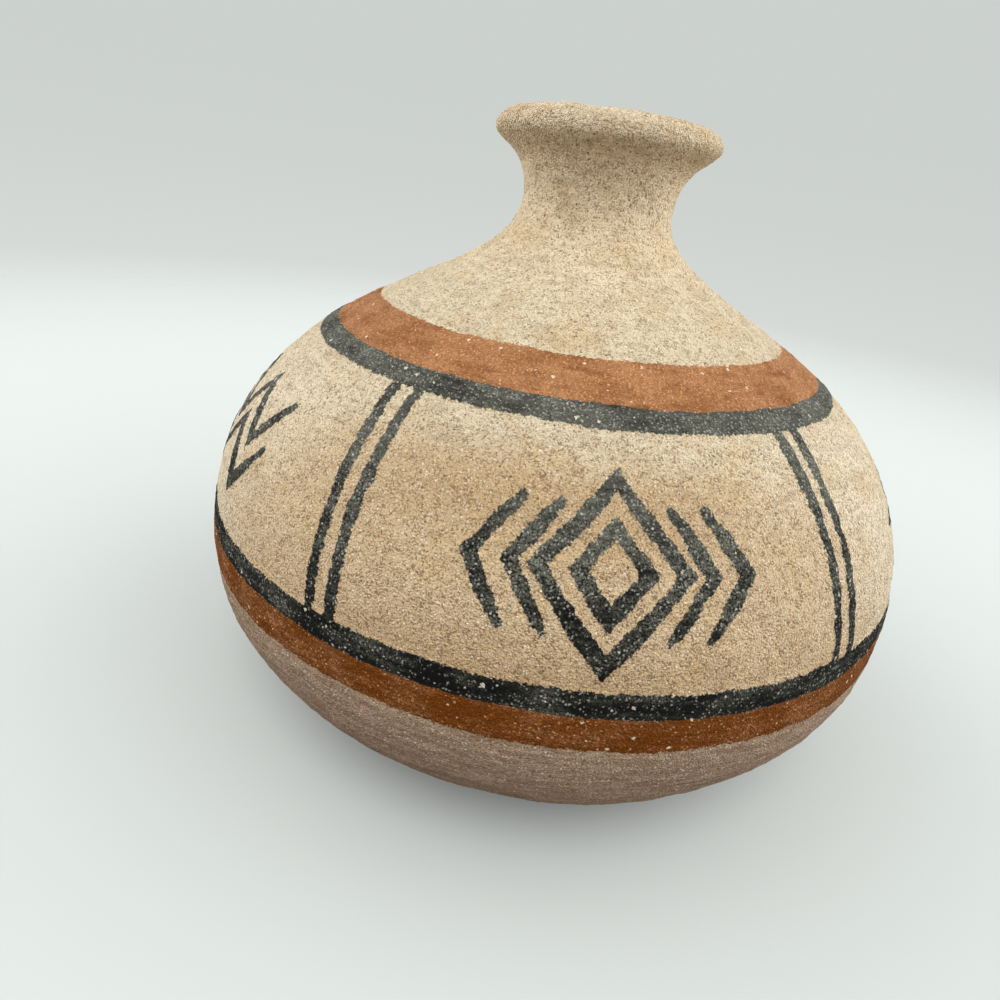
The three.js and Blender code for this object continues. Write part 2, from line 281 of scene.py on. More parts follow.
def place_tree():
    """A place on the outside: arc along the section, azimuth from the front and lift off it."""
    nodes, given, result = new_tree(
        "Place on the wall",
        "GeometryNodeTree",
        {"Section": "Object", "Arc": "Float", "Azimuth": "Float", "Lift": "Float"},
        {"Position": "Vector", "Outward": "Vector"},
    )
    curve = nodes.add("GeometryNodeObjectInfo", {"Object": given["Section"]})
    sample = nodes.add(
        "GeometryNodeSampleCurve",
        {"Curves": curve.outputs["Geometry"], "Length": given["Arc"]},
        mode="LENGTH",
        use_all_curves=True,
    )
    along = nodes.parts(sample.outputs["Tangent"])
    outward = nodes.add(
        "ShaderNodeCombineXYZ", {"X": along["Z"], "Z": nodes.math("MULTIPLY", along["X"], -1.0)}
    )
    lifted = nodes.vector("ADD", sample.outputs["Position"], nodes.scaled(outward, given["Lift"]))
    angle = nodes.math("SUBTRACT", given["Azimuth"], math.pi / 2)
    for vector, output in ((lifted, "Position"), (outward, "Outward")):
        turned = nodes.add(
            "ShaderNodeVectorRotate", {"Vector": vector, "Angle": angle}, rotation_type="Z_AXIS"
        )
        nodes.connect(result[output], turned)
    return nodes.tree


def sand_tree():
    """How far the hand-built surface stands off the turned one: lumps, ripples and sand."""
    nodes, given, result = new_tree(
        "Sandy height", "GeometryNodeTree", {"Position": "Vector"}, {"Height": "Float"}
    )
    place = given["Position"]
    height = 0.0
    for size, amplitude in LUMPS:
        lumps = nodes.math("SUBTRACT", nodes.noise(place, size, 1.0), 0.5)
        height = nodes.math("MULTIPLY_ADD", lumps, amplitude, height)
    nodes.connect(result["Height"], height)
    return nodes.tree


def numbered_grid(nodes, columns, rows):
    """A grid of points: its outputs, and the column and the row of each point."""
    grid = nodes.add("GeometryNodeMeshGrid", {"Vertices X": columns, "Vertices Y": rows}).outputs
    index = nodes.add("GeometryNodeInputIndex").outputs[0]
    column = nodes.math("FLOOR", nodes.math("DIVIDE", nodes.math("ADD", index, 0.5), rows))
    row = nodes.math("SUBTRACT", index, nodes.math("MULTIPLY", column, rows))
    return grid, column, row


def lattice_tree(place):
    """A part of the lattice, by its first row and column and their numbers, on the smooth wall."""
    nodes, given, result = new_tree(
        "Lattice",
        "GeometryNodeTree",
        {
            "Section": "Object",
            "First row": "Int",
            "Rows": "Int",
            "First column": "Int",
            "Columns": "Int",
            "Folds": "Float",
        },
        {"Mesh": "Geometry", "Arc": "Float", "Azimuth": "Float"},
    )
    row_points = nodes.math("ADD", given["Rows"], 1.0)
    column_points = nodes.math("ADD", given["Columns"], 1.0)
    grid, column, row = numbered_grid(nodes, column_points, row_points)
    arc = nodes.math("MULTIPLY", nodes.math("ADD", row, given["First row"]), ROW)
    turn = nodes.math("ADD", column, given["First column"])
    azimuth = nodes.math("MULTIPLY", turn, COLUMN_TURN)
    spot = nodes.group(place, Section=given["Section"], Arc=arc, Azimuth=azimuth)
    mesh = grid["Mesh"]
    for name, kind, value in (
        ("arc", "FLOAT", arc),
        ("azimuth", "FLOAT", azimuth),
        ("outward", "FLOAT_VECTOR", spot["Outward"]),
    ):
        mesh = stored(nodes, mesh, name, kind, value)
    mesh = moved(nodes, mesh, Position=spot["Position"])
    folded = folded_map(nodes, grid["UV Map"], given["Folds"])
    mesh = stored(nodes, mesh, "OFBake", "FLOAT2", folded, domain="CORNER")
    nodes.connect(result["Mesh"], mesh)
    nodes.connect(result["Arc"], named(nodes, "arc"))
    nodes.connect(result["Azimuth"], named(nodes, "azimuth"))
    return nodes.tree


# The free margin in a piece's map, and the share of the map that hidden faces take.
MAP_GAP = 0.02
HIDDEN_SHARE = MAP_GAP / 4


def folded_map(nodes, flat, folds):
    """A long strip's map, cut into shorter rows that lie one above the other."""
    middle = nodes.add(
        "GeometryNodeFieldOnDomain", {"Value": flat}, data_type="FLOAT_VECTOR", domain="FACE"
    )
    fold = nodes.math("FLOOR", nodes.math("MULTIPLY", nodes.parts(middle)["X"], folds))
    corner = nodes.parts(flat)
    along = nodes.math("SUBTRACT", nodes.math("MULTIPLY", corner["X"], folds), fold)
    up = nodes.ramped(corner["Y"], 0.0, 1.0, MAP_GAP, 1 - MAP_GAP, kind="LINEAR")
    across = nodes.ramped(along, 0.0, 1.0, MAP_GAP / 2, 1 - MAP_GAP / 2, kind="LINEAR")
    height = nodes.math("DIVIDE", nodes.math("ADD", up, fold), folds)
    return nodes.add("ShaderNodeCombineXYZ", {"X": across, "Y": height}).outputs[0]


def stored(nodes, mesh, name, kind, value, domain="POINT"):
    """The mesh with a value that it keeps under a name."""
    node = nodes.add(
        "GeometryNodeStoreNamedAttribute",
        {"Geometry": mesh, "Name": name},
        data_type=kind,
        domain=domain,
    )
    nodes.connect(find(node.inputs, "Value"), value)
    return node


def named(nodes, name, kind="FLOAT"):
    """The value that a mesh keeps under a name."""
    node = nodes.add("GeometryNodeInputNamedAttribute", {"Name": name}, data_type=kind)
    return find(node.outputs, "Attribute")


def moved(nodes, mesh, **where):
    """The mesh with its points at a Position, or moved by an Offset."""
    return nodes.add("GeometryNodeSetPosition", {"Geometry": mesh, **where})


def cut(nodes, mesh, selection, domain):
    """The mesh without the selected faces or edges."""
    inputs = {"Geometry": mesh, "Selection": selection}
    return nodes.add("GeometryNodeDeleteGeometry", inputs, domain=domain)


def welded(nodes, mesh):
    return nodes.add("GeometryNodeMergeByDistance", {"Geometry": mesh, "Distance": WELD})


def joined(nodes, *meshes):
    """The meshes as one, merged where their edges meet."""
    together = nodes.add("GeometryNodeJoinGeometry")
    for mesh in meshes:
        nodes.tree.links.new(mesh.outputs[0], together.inputs[0])
    return welded(nodes, together)


SHARP_CORNER = math.radians(50)


def finished_mesh(nodes, mesh, material, result):
    """The end of a tree: smooth faces of one material with sharp rims, and no instances."""
    smooth = nodes.add("GeometryNodeSetShadeSmooth", {"Geometry": mesh})
    corner = nodes.add("GeometryNodeInputMeshEdgeAngle").outputs["Unsigned Angle"]
    creased = nodes.add(
        "GeometryNodeSetShadeSmooth",
        {
            "Geometry": smooth,
            "Selection": nodes.math("GREATER_THAN", corner, SHARP_CORNER),
            "Shade Smooth": False,
        },
        domain="EDGE",
    )
    real = nodes.add("GeometryNodeRealizeInstances", {"Geometry": creased})
    done = nodes.add("GeometryNodeSetMaterial", {"Geometry": real, "Material": material})
    nodes.connect(result["Mesh"], done)


def patch_of(nodes, lattice, given, first_column, columns):
    """The part of the lattice that a piece is cut from."""
    asked = {name: given[name] for name in ("Section", "First row", "Rows", "Folds")}
    return nodes.group(lattice, **asked, First_column=first_column, Columns=columns)


def inner_face(nodes, given, place):
    """The plain inner face of a clay wall.

    It runs back from the last row of the outside to the first. Its own first and last rows lie
    on these, and are merged with them.
    """
    inner_points = nodes.math("ADD", given["Inner rows"], 2.0)
    grid, column, row = numbered_grid(nodes, COLUMNS + 1, inner_points)
    last = nodes.math("ADD", given["Inner rows"], 1.0)
    is_start = nodes.math("LESS_THAN", row, 0.5)
    is_end = nodes.math("GREATER_THAN", row, nodes.math("SUBTRACT", last, 0.5))
    edge = nodes.math("ADD", is_start, is_end)
    steps = nodes.math("MAXIMUM", nodes.math("SUBTRACT", given["Inner rows"], 1.0), 1.0)
    share = nodes.math("DIVIDE", nodes.math("SUBTRACT", row, 1.0), steps)
    inner_arc = nodes.ramped(
        share, 0.0, 1.0, given["Inner start"], given["Inner end"], kind="LINEAR"
    )
    from_arc = nodes.math("MULTIPLY", given["First row"], ROW)
    last_row = nodes.math("ADD", given["First row"], given["Rows"])
    to_arc = nodes.math("MULTIPLY", last_row, ROW)
    arc = nodes.math(
        "MULTIPLY_ADD",
        is_start,
        nodes.math("SUBTRACT", to_arc, inner_arc),
        nodes.math(
            "MULTIPLY_ADD", is_end, nodes.math("SUBTRACT", from_arc, inner_arc), inner_arc
        ),
    )
    depth = nodes.math("MULTIPLY", nodes.math("SUBTRACT", edge, 1.0), given["Wall"])
    azimuth = nodes.math("MULTIPLY", column, COLUMN_TURN)
    spot = nodes.group(place, Section=given["Section"], Arc=arc, Azimuth=azimuth, Lift=depth)
    inner = stored(nodes, grid["Mesh"], "sandy", "FLOAT", edge)
    inner = stored(nodes, inner, "outward", "FLOAT_VECTOR", spot["Outward"])
    inner = moved(nodes, inner, Position=spot["Position"])
    small = nodes.scaled(grid["UV Map"], HIDDEN_SHARE)
    return stored(nodes, inner, "OFBake", "FLOAT2", small, domain="CORNER")


def wall_tree(place, sand, lattice):
    """A closed ring of clay wall: sandy rows of the lattice outside, and a plain inner face."""
    nodes, given, result = new_tree(
        "Clay wall",
        "GeometryNodeTree",
        {
            "Section": "Object",
            "First row": "Int",
            "Rows": "Int",
            "Folds": "Float",
            "Inner start": "Float",
            "Inner end": "Float",
            "Inner rows": "Int",
            "Wall": "Float",
            "Material": "Material",
        },
        {"Mesh": "Geometry"},
    )
    shell = patch_of(nodes, lattice, given, 0, COLUMNS)
    outer = stored(nodes, shell["Mesh"], "sandy", "FLOAT", 1.0)
    closed = joined(nodes, inner_face(nodes, given, place), outer)
    faces = nodes.add("GeometryNodeInputMeshEdgeNeighbors").outputs["Face Count"]
    closed = cut(nodes, closed, nodes.math("LESS_THAN", faces, 0.5), "EDGE")
    position = nodes.add("GeometryNodeInputPosition").outputs[0]
    height = nodes.group(sand, Position=position)["Height"]
    height = nodes.math("MULTIPLY", height, named(nodes, "sandy"))
    offset = nodes.scaled(named(nodes, "outward", "FLOAT_VECTOR"), height)
    sandy = moved(nodes, closed, Offset=offset)
    # No grain reaches below the table.
    level = nodes.vector("MAXIMUM", position, (-1.0, -1.0, 0.0))
    standing = moved(nodes, sandy, Position=level)
    finished_mesh(nodes, standing, given["Material"], result)
    return nodes.tree


SLIP_INPUTS = {
    "Section": "Object",
    "First row": "Int",
    "Rows": "Int",
    "First column": "Int",
    "Columns": "Int",
    "Folds": "Float",
    "Lowest arc": "Float",
    "Highest arc": "Float",
    "Lift": "Float",
    "Material": "Material",
}


def slip_layer(nodes, given, result, patch, signed, waver, sand):
    """The end of both slip trees: the patch is cut to the slip's edge, and lifted off the clay.

    signed is the distance in metres to the edge, below zero inside the slip, and waver is how
    far the brush strays from it.
    """
    position = nodes.add("GeometryNodeInputPosition").outputs[0]
    long_waves = nodes.math("SUBTRACT", nodes.noise(position, LONG_WAVE, 1.0), 0.5)
    short_waves = nodes.math("SUBTRACT", nodes.noise(position, SHORT_WAVE, 1.0), 0.5)
    edge = nodes.math("MULTIPLY_ADD", nodes.math("ADD", long_waves, short_waves), waver, signed)
    mesh = stored(nodes, patch["Mesh"], "edge", "FLOAT", edge)
    stray = nodes.math("GREATER_THAN", named(nodes, "edge"), FRINGE)
    mesh = welded(nodes, cut(nodes, mesh, stray, "FACE"))
    edge = named(nodes, "edge")
    height = nodes.group(sand, Position=position)["Height"]
    body = nodes.ramped(edge, EDGE_SLOPE, -EDGE_SLOPE, EDGE_LIFT, given["Lift"])
    dive = nodes.ramped(edge, DIVE_START, DIVE_END, 0.0, -DIVE_DEPTH)
    height = nodes.math("ADD", nodes.math("ADD", height, body), dive)
    offset = nodes.scaled(named(nodes, "outward", "FLOAT_VECTOR"), height)
    mesh = moved(nodes, mesh, Offset=offset)
    # The material reads the distance to the edge in millimetres.
    in_mm = nodes.math("DIVIDE", edge, MM)
    mesh = stored(nodes, mesh, "edge", "FLOAT", in_mm)
    finished_mesh(nodes, backed(nodes, mesh), given["Material"], result)


def backed(nodes, sheet):
    """A closed layer: the sheet, with its rim and back sunk in the clay."""
    sunk = nodes.add(
        "GeometryNodeExtrudeMesh",
        {
            "Mesh": sheet,
            "Offset": named(nodes, "outward", "FLOAT_VECTOR"),
            "Offset Scale": -SLIP_DEPTH,
            "Individual": False,
        },
        mode="FACES",
    )
    back = nodes.add("GeometryNodeFlipFaces", {"Mesh": sunk.outputs["Mesh"]})
    small = nodes.scaled(named(nodes, "OFBake", "FLOAT_VECTOR"), HIDDEN_SHARE)
    back = stored(nodes, back, "OFBake", "FLOAT2", small, domain="CORNER")
    return joined(nodes, back, sheet)


def band_tree(sand, lattice):
    """A slip band round the pot, between its lowest and its highest arc."""
    nodes, given, result = new_tree(
        "Slip band", "GeometryNodeTree", SLIP_INPUTS, {"Mesh": "Geometry"}
    )
    patch = patch_of(nodes, lattice, given, given["First column"], given["Columns"])
    below = nodes.math("SUBTRACT", given["Lowest arc"], patch["Arc"])
    above = nodes.math("SUBTRACT", patch["Arc"], given["Highest arc"])
    signed = nodes.math("MAXIMUM", below, above)
    slip_layer(nodes, given, result, patch, signed, BAND_WAVER, sand)
    return nodes.tree


# Faces of a strip that point along the wall's outward direction, or against it, by more than
# this are its face and its back. The others are its rim.
FACING = 0.6


def rim_distance(nodes, given, place, patch):
    """How far the patch is from the rim of the strip above it, below zero under the strip.

    Beyond the lowest and the highest arc the strip counts as going on as it is there.
    """
    lowest = nodes.math("MAXIMUM", patch["Arc"], given["Lowest arc"])
    arc = nodes.math("MINIMUM", lowest, given["Highest arc"])
    where = {"Section": given["Section"], "Arc": arc, "Azimuth": patch["Azimuth"]}
    in_strip = nodes.group(place, **where, Lift=(STRIP_LOW + STRIP_HIGH) / 2)
    on_clay = nodes.group(place, **where)
    strip = nodes.add("GeometryNodeObjectInfo", {"Object": given["Strip"]}).outputs["Geometry"]
    normal = nodes.add("GeometryNodeInputNormal").outputs[0]
    here = nodes.add("GeometryNodeInputPosition").outputs[0]
    clay_side = nodes.add(
        "GeometryNodeSampleNearestSurface",
        {
            "Mesh": patch["Mesh"],
            "Value": named(nodes, "outward", "FLOAT_VECTOR"),
            "Sample Position": here,
        },
        data_type="FLOAT_VECTOR",
    )
    facing = nodes.add(
        "ShaderNodeVectorMath", {0: normal, 1: clay_side.outputs["Value"]}, operation="DOT_PRODUCT"
    )
    flat = nodes.math("GREATER_THAN", nodes.math("ABSOLUTE", facing.outputs["Value"]), FACING)
    rim = cut(nodes, strip, flat, "FACE")
    near = nodes.add(
        "GeometryNodeProximity",
        {0: rim, "Sample Position": in_strip["Position"]},
        target_element="FACES",
    )
    under = nodes.add(
        "GeometryNodeRaycast",
        {
            "Target Geometry": strip,
            "Source Position": on_clay["Position"],
            "Ray Direction": on_clay["Outward"],
            "Ray Length": STRIP_HIGH,
        },
    )
    side = nodes.math("MULTIPLY_ADD", under.outputs["Is Hit"], -2.0, 1.0)
    return nodes.math("MULTIPLY", near.outputs["Distance"], side)


def stroke_tree(place, sand, lattice):
    """A brushed stroke of slip, whose edge is the rim of a strip of the part."""
    nodes, given, result = new_tree(
        "Slip stroke", "GeometryNodeTree", {**SLIP_INPUTS, "Strip": "Object"}, {"Mesh": "Geometry"}
    )
    patch = patch_of(nodes, lattice, given, given["First column"], given["Columns"])
    signed = rim_distance(nodes, given, place, patch)
    slip_layer(nodes, given, result, patch, signed, STROKE_WAVER, sand)
    return nodes.tree


def grown(name, tree, **settings):
    """The plain mesh object that a tree makes."""
    piece = bpy.data.objects.new(name, bpy.data.meshes.new(name))
    bpy.context.scene.collection.objects.link(piece)
    modifier = piece.modifiers.new("shape", "NODES")
    modifier.node_group = tree
    labels = {s.name: s.identifier for s in tree.interface.items_tree if s.in_out == "INPUT"}
    for key, value in settings.items():
        modifier[labels[key.replace("_", " ")]] = value
    ready = bpy.context.evaluated_depsgraph_get()
    mesh = bpy.data.meshes.new_from_object(piece.evaluated_get(ready))
    piece.modifiers.remove(modifier)
    piece.data = mesh
    mesh.name = name
    for extra in ("outward", "sandy", "arc", "azimuth"):
        if extra in mesh.attributes:
            mesh.attributes.remove(mesh.attributes[extra])
    return piece


# Materials


def linear(red, green, blue):
    """A colour given as a painter reads it, from 0 to 255, in the renderer's own numbers."""
    values = []
    for value in (red, green, blue):
        share = value / 255
        low = share / 12.92
        values.append(low if share < 0.04045 else ((share + 0.055) / 1.055) ** 2.4)
    return (*values, 1.0)


def mixed(nodes, share, first, second):
    """The first colour, with a share of the second."""
    inputs = {0: share, 6: first, 7: second}
    return nodes.add("ShaderNodeMix", inputs, data_type="RGBA").outputs[2]


def streaked(nodes, place, size):
    """Noise that is drawn out round the pot, as wiping and brushing leave it."""
    level = nodes.vector("MULTIPLY", place, (0.12, 0.12, 1.0))
    return nodes.noise(level, size, 2.0, 0.6)


def portion(nodes, value, start, end, most):
    """A share that rises from nothing, where value is start, to most, where it is end."""
    return nodes.math("MULTIPLY", nodes.ramped(value, start, end), most)


def channels(nodes, colour):
    """The red, green and blue of a colour."""
    return nodes.add("ShaderNodeSeparateColor", {"Color": colour}).outputs


# Sizes in the sand: its grains, how far they are bent out of shape and by what, the fine noise
# on them, their clumps and the finest grit.
GRAIN, BEND, BEND_WAVE = 0.29 * MM, 0.4 * MM, 0.45 * MM
FINE, CLUMP, GRIT = 0.2 * MM, 0.8 * MM, 0.12 * MM
# Sizes of the clay's patches, ochre spots, mottles, streaks and dark specks.
PATCHES, SPOTS, MOTTLES, STREAKS, SPECKS = 13 * MM, 7 * MM, 3.4 * MM, 0.6 * MM, 0.6 * MM
# Sizes of the patches and streaks in the brush's load, and of the grains at the slip's edge.
LOAD_PATCHES, LOAD_STREAKS, EDGE_GRAINS = 5 * MM, 0.7 * MM, 0.42 * MM

# Broad tones of the clay: the panels, with painted shade on the front and by the bands there; the
# parts above them, with painted shade on the shoulder and painted light on the neck; stains; and
# the wiped base, which is greyer and also darkened by painted shade.
PANEL_PALE, PANEL_TAN_AND_SHADE = linear(234, 221, 193), linear(212, 187, 151)
PANEL_SHADE_BROWN = linear(178, 148, 106)
SHOULDER_PAINTED_SHADE, NECK_PAINTED_LIGHT, LIP = linear(218, 203, 173), linear(238, 218, 184), linear(217, 199, 168)
OCHRE, MOTTLE, WIPED = linear(204, 172, 120), linear(190, 160, 122), linear(150, 126, 98)
BASE_DARK_AND_SHADE, BASE_PALE_AND_SHADE = linear(144, 122, 104), linear(176, 152, 131)
# Painted shade in the sand's hollows and pits, and the tones of its grains and specks.
HOLLOW_SHADE, PIT_SHADE, SPECK = linear(160, 128, 94), linear(108, 82, 56), linear(92, 68, 46)
PALE_GRAIN, TAN_GRAIN = linear(240, 232, 212), linear(172, 136, 96)

# Heights between which a tone comes in: the painted shade next to the bands below and above the
# panels, and the tones on the belly, shoulder, neck and lip. The base's are from the lower edge of
# the lowest band.
BY_LOW_BANDS, BY_HIGH_BANDS = (38 * MM, 32 * MM), (41 * MM, 47 * MM)
ON_BELLY, ON_SHOULDER = (54 * MM, 48 * MM), (48 * MM, 54 * MM)
ON_NECK, ON_LIP = (56 * MM, 72 * MM), (76 * MM, 80 * MM)
ON_BASE = (1.5 * MM, -1 * MM)
# How far forward the front's painted shade comes in, and how near the middle.
IN_FRONT, IN_THE_MIDDLE = (-24 * MM, -46 * MM), (30 * MM, 10 * MM)
# Heights between which the painted shade in the clay's hollows grows fainter, the slip is painted
# lighter as painted light, and the painted shade in the slip's hollows grows fainter.
CLAY_SHADE_FAINTER, SLIP_PAINTED_LIGHTER, FAINTER = (46 * MM, 58 * MM), (28 * MM, 50 * MM), (42 * MM, 50 * MM)

# The colours of a slip: thick, thin, over a worn grain top, which is partly a painted highlight,
# and of a bare grain.
CHARCOAL = ((16, 17, 16), (108, 107, 96), (172, 172, 160), (226, 216, 196))
TERRACOTTA = ((118, 62, 4), (186, 132, 90), (220, 162, 110), (236, 216, 186))

# The materials' plain colours, for a view without textures.
PLAIN_CLAY = linear(214, 196, 164)
PLAIN_CHARCOAL, PLAIN_TERRACOTTA = linear(60, 61, 58), linear(176, 108, 66)
ROUGHNESS, SHINE = 0.95, 0.12
BUMP_STRENGTH, BUMP_DEPTH = 0.9, 0.6 * MM


def grain_tree():
    """The sand in the clay, from a position.

    Height is from 0 to 1, Top is 1 on top of a grain, Chance is a random colour for each grain
    and Grit is the light and dark of the finest grit.
    """
    nodes, given, result = new_tree(
        "Sand grains",
        "ShaderNodeTree",
        {"Position": "Vector"},
        {"Height": "Float", "Top": "Float", "Chance": "Color", "Grit": "Float"},
    )
    place = given["Position"]
    inputs = {"Vector": place, "Scale": 1 / BEND_WAVE, "Detail": 1.0}
    shift = nodes.add("ShaderNodeTexNoise", inputs).outputs["Color"]
    shift = nodes.scaled(nodes.vector("SUBTRACT", shift, (0.5, 0.5, 0.5)), BEND)
    grain = nodes.grains(nodes.vector("ADD", place, shift), GRAIN)
    top = nodes.ramped(grain["Distance"], 0.62, 0.1)
    nodes.connect(result["Top"], top)
    nodes.connect(result["Chance"], grain["Color"])
    fine = nodes.noise(place, FINE, 2.0, 0.7)
    clumps = nodes.noise(place, CLUMP, 1.0)
    height = nodes.math("MULTIPLY_ADD", top, 0.35, nodes.math("MULTIPLY_ADD", fine, 0.75, -0.175))
    height = nodes.math("MULTIPLY_ADD", clumps, 0.3, height)
    nodes.connect(result["Height"], height)
    grit = nodes.noise(place, GRIT, 1.0)
    nodes.connect(result["Grit"], nodes.ramped(grit, 0.3, 0.7, 0.8, 1.14, kind="LINEAR"))
    return nodes.tree


def broad_tones(nodes, place):
    """The colour of the clay without its sand.

    It is tan in patches on the belly and darker tan on its front, which is painted shade, and
    browner there next to the bands, also painted shade; pale elsewhere on the belly and on the lip,
    a little darker on the shoulder as painted shade and lighter on the neck as painted light; and
    grey brown on the base, a greyer clay that is also darkened by painted shade.
    """
    across = nodes.parts(place)
    up = across["Z"]
    patches = nodes.math("SUBTRACT", nodes.noise(place, PATCHES, 3.0, 0.6), 0.5)
    # The belly is tan in patches at random, and darker tan towards the front, which is painted
    # shade.
    front = nodes.ramped(across["Y"], *IN_FRONT, 0.2, 1.1)
    belly = nodes.math("MULTIPLY", front, nodes.ramped(up, *ON_BELLY))
    belly = nodes.math("MULTIPLY_ADD", patches, 0.9, belly)
    tone = mixed(nodes, nodes.ramped(belly, 0.0, 1.0), PANEL_PALE, PANEL_TAN_AND_SHADE)
    # Painted shade: browner next to the bands, in the middle of the front.
    shade_by_low_bands = nodes.ramped(up, *BY_LOW_BANDS)
    shade_by_bands = nodes.math("MAXIMUM", shade_by_low_bands, nodes.ramped(up, *BY_HIGH_BANDS))
    aside = nodes.math("ABSOLUTE", across["X"])
    middle = nodes.math("MULTIPLY", front, nodes.ramped(aside, *IN_THE_MIDDLE, 0.0, 0.5))
    tone = mixed(nodes, nodes.math("MULTIPLY", shade_by_bands, middle), tone, PANEL_SHADE_BROWN)
    # The shoulder is a little darker than the panels, which is painted shade.
    tone = mixed(nodes, nodes.ramped(up, *ON_SHOULDER), tone, SHOULDER_PAINTED_SHADE)
    # The neck is lighter than the shoulder, which is painted light.
    neck = nodes.ramped(up, *ON_NECK)
    tone = mixed(nodes, neck, tone, NECK_PAINTED_LIGHT)
    tone = mixed(nodes, nodes.ramped(up, *ON_LIP), tone, LIP)
    ochre = nodes.noise(place, SPOTS, 3.0, 0.6)
    tone = mixed(nodes, portion(nodes, ochre, 0.5, 0.72, 0.4), tone, OCHRE)
    mottle = nodes.noise(place, MOTTLES, 3.0, 0.65)
    stain = nodes.math("MULTIPLY_ADD", neck, 0.2, 0.35)
    tone = mixed(nodes, portion(nodes, mottle, 0.5, 0.75, stain), tone, MOTTLE)
    streaks = streaked(nodes, place, STREAKS)
    tone = mixed(nodes, portion(nodes, streaks, 0.5, 0.66, 0.22), tone, WIPED)
    # The base is grey brown: a greyer clay, and darker than the panels by painted shade.
    base_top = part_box("lower_terracotta_band")[0].z
    base = nodes.ramped(up, *(base_top + rise for rise in ON_BASE))
    base_tone_and_shade = mixed(nodes, nodes.ramped(streaks, 0.36, 0.64), BASE_DARK_AND_SHADE, BASE_PALE_AND_SHADE)
    return mixed(nodes, base, tone, base_tone_and_shade)


def sanded(nodes, place, sand, tone):
    """A tone with hollows in shade, grains of their own tints and a few dark brown specks."""
    up = nodes.parts(place)["Z"]
    # Painted shade in the sand's hollows and deeper pits, fainter above the panels.
    roughness = nodes.ramped(up, *CLAY_SHADE_FAINTER, 1.0, 0.85)
    for start, end, most, colour in ((0.45, 0.31, 0.5, HOLLOW_SHADE), (0.34, 0.27, 0.65, PIT_SHADE)):
        deep = portion(nodes, sand["Height"], start, end, most)
        tone = mixed(nodes, nodes.math("MULTIPLY", deep, roughness), tone, colour)
    chance = channels(nodes, sand["Chance"])
    for channel, start, most, colour in (
        ("Red", 0.55, 0.7, PALE_GRAIN),
        ("Green", 0.65, 0.6, TAN_GRAIN),
    ):
        chosen = portion(nodes, chance[channel], start, 1.0, most)
        tone = mixed(nodes, nodes.math("MULTIPLY", chosen, sand["Top"]), tone, colour)
    speck = nodes.grains(place, SPECKS)
    rare = channels(nodes, speck["Color"])["Blue"]
    rarity = nodes.math("MULTIPLY_ADD", nodes.ramped(up, *ON_NECK), -0.08, 0.95)
    is_speck = nodes.math("GREATER_THAN", rare, rarity)
    close = portion(nodes, speck["Distance"], 0.30, 0.12, 0.85)
    return mixed(nodes, nodes.math("MULTIPLY", is_speck, close), tone, SPECK)


def clay_tree(grains):
    """Sandy unglazed clay: its colour, and the height of its grains from 0 to 1."""
    nodes, given, result = new_tree(
        "Sandy clay",
        "ShaderNodeTree",
        {"Position": "Vector"},
        {"Color": "Color", "Height": "Float"},
    )
    place = given["Position"]
    sand = nodes.group(grains, Position=place)
    tone = sanded(nodes, place, sand, broad_tones(nodes, place))
    nodes.connect(result["Color"], nodes.scaled(tone, sand["Grit"]))
    nodes.connect(result["Height"], sand["Height"])
    return nodes.tree


